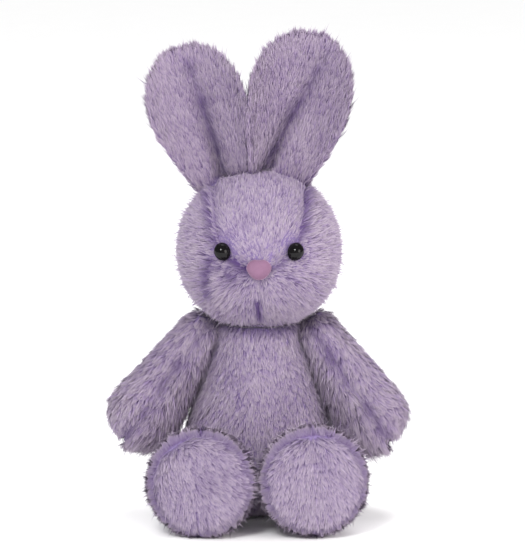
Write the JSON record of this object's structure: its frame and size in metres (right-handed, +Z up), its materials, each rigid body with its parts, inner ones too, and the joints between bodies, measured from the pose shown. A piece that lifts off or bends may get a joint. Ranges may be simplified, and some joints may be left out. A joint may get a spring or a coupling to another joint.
{
  "type": "stuffed bunny rabbit",
  "caption": "Sitting long-pile plush rabbit with large upright ears, round head, hanging arms and forward-pointing feet; sewn panels over stuffing, jointed at neck, ears, shoulders and hips.",
  "frame": {"origin": "centre of the flat seat that the rabbit sits on", "axes": "+Z up through the torso, -Y the way the rabbit faces; left and right are the rabbit's own, so its left arm is at +X"},
  "size_m": [0.1775, 0.1681, 0.2868],
  "materials": {
    "plush": "matte",
    "plush_ear": "matte",
    "plush_sole": "matte",
    "stuffing": "matte",
    "bean_cloth": "matte",
    "thread": "matte",
    "eye_plastic": "gloss",
    "washer_plastic": "matte",
    "nose_flock": "matte"
  },
  "bodies": {
    "torso": {"belly": "plush", "back_left": "plush", "back_right": "plush", "seat": "plush_sole", "torso_stuffing": "stuffing", "seat_bean_bag": "bean_cloth", "tail_cover": "plush", "tail_stuffing": "stuffing"},
    "neck": {"neck_stitching": "thread"},
    "head": {"face_gusset": "plush", "left_cheek": "plush", "right_cheek": "plush", "head_back_left": "plush", "head_back_right": "plush", "head_stuffing": "stuffing", "left_eye": "eye_plastic", "right_eye": "eye_plastic", "left_eye_washer": "washer_plastic", "right_eye_washer": "washer_plastic", "nose": "nose_flock", "nose_washer": "washer_plastic"},
    "left_ear": {"left_ear_front": "plush_ear", "left_ear_back": "plush_ear"},
    "left_shoulder": {"left_shoulder_stitching": "thread"},
    "left_arm": {"left_arm_outer": "plush", "left_arm_inner": "plush", "left_arm_stuffing": "stuffing"},
    "left_hip": {"left_hip_stitching": "thread"},
    "left_leg": {"left_leg_outer": "plush", "left_leg_inner": "plush", "left_sole": "plush_sole", "left_leg_stuffing": "stuffing", "left_foot_bean_bag": "bean_cloth"},
    "right_ear": {"right_ear_front": "plush_ear", "right_ear_back": "plush_ear"},
    "right_shoulder": {"right_shoulder_stitching": "thread"},
    "right_arm": {"right_arm_outer": "plush", "right_arm_inner": "plush", "right_arm_stuffing": "stuffing"},
    "right_hip": {"right_hip_stitching": "thread"},
    "right_leg": {"right_leg_outer": "plush", "right_leg_inner": "plush", "right_sole": "plush_sole", "right_leg_stuffing": "stuffing", "right_foot_bean_bag": "bean_cloth"}
  },
  "joints": [
    {"name": "head_turn", "type": "hinge", "parent": "torso", "child": "neck", "pos_m": [0, 0, 0.15718], "axis": [0, 0, 1], "range_deg": [-35, 35], "stiffness_Nm_per_rad": 0.6},
    {"name": "head_nod", "type": "hinge", "parent": "neck", "child": "head", "pos_m": [0, 0, 0.15718], "axis": [1, 0, 0], "range_deg": [-15, 18], "stiffness_Nm_per_rad": 1},
    {"name": "left_ear_fold", "type": "hinge", "parent": "head", "child": "left_ear", "pos_m": [0.0177, 0.004, 0.20162], "axis": [1, 0, 0], "range_deg": [-30, 32], "stiffness_Nm_per_rad": 0.08},
    {"name": "left_arm_swing", "type": "hinge", "parent": "torso", "child": "left_shoulder", "pos_m": [0.035, 0, 0.10697], "axis": [-1, 0, 0], "range_deg": [-35, 70], "stiffness_Nm_per_rad": 0.15},
    {"name": "left_arm_lift", "type": "hinge", "parent": "left_shoulder", "child": "left_arm", "pos_m": [0.035, 0, 0.10697], "axis": [0, -1, 0], "range_deg": [0, 40], "stiffness_Nm_per_rad": 0.15},
    {"name": "left_leg_lift", "type": "hinge", "parent": "torso", "child": "left_hip", "pos_m": [0.0265, -0.0424, 0.026], "axis": [-1, 0, 0], "range_deg": [0, 16], "stiffness_Nm_per_rad": 0.4},
    {"name": "left_leg_splay", "type": "hinge", "parent": "left_hip", "child": "left_leg", "pos_m": [0.0265, -0.0424, 0.026], "axis": [0, 0, 1], "range_deg": [-2, 20], "stiffness_Nm_per_rad": 0.4},
    {"name": "right_ear_fold", "type": "hinge", "parent": "head", "child": "right_ear", "pos_m": [-0.0241, 0.004, 0.1985], "axis": [1, 0, 0], "range_deg": [-30, 32], "stiffness_Nm_per_rad": 0.08},
    {"name": "right_arm_swing", "type": "hinge", "parent": "torso", "child": "right_shoulder", "pos_m": [-0.035, 0, 0.10697], "axis": [-1, 0, 0], "range_deg": [-35, 70], "stiffness_Nm_per_rad": 0.15},
    {"name": "right_arm_lift", "type": "hinge", "parent": "right_shoulder", "child": "right_arm", "pos_m": [-0.035, 0, 0.10697], "axis": [0, 1, 0], "range_deg": [0, 40], "stiffness_Nm_per_rad": 0.15},
    {"name": "right_leg_lift", "type": "hinge", "parent": "torso", "child": "right_hip", "pos_m": [-0.0265, -0.0424, 0.026], "axis": [-1, 0, 0], "range_deg": [0, 16], "stiffness_Nm_per_rad": 0.4},
    {"name": "right_leg_splay", "type": "hinge", "parent": "right_hip", "child": "right_leg", "pos_m": [-0.0265, -0.0424, 0.026], "axis": [0, 0, -1], "range_deg": [-2, 20], "stiffness_Nm_per_rad": 0.4}
  ]
}
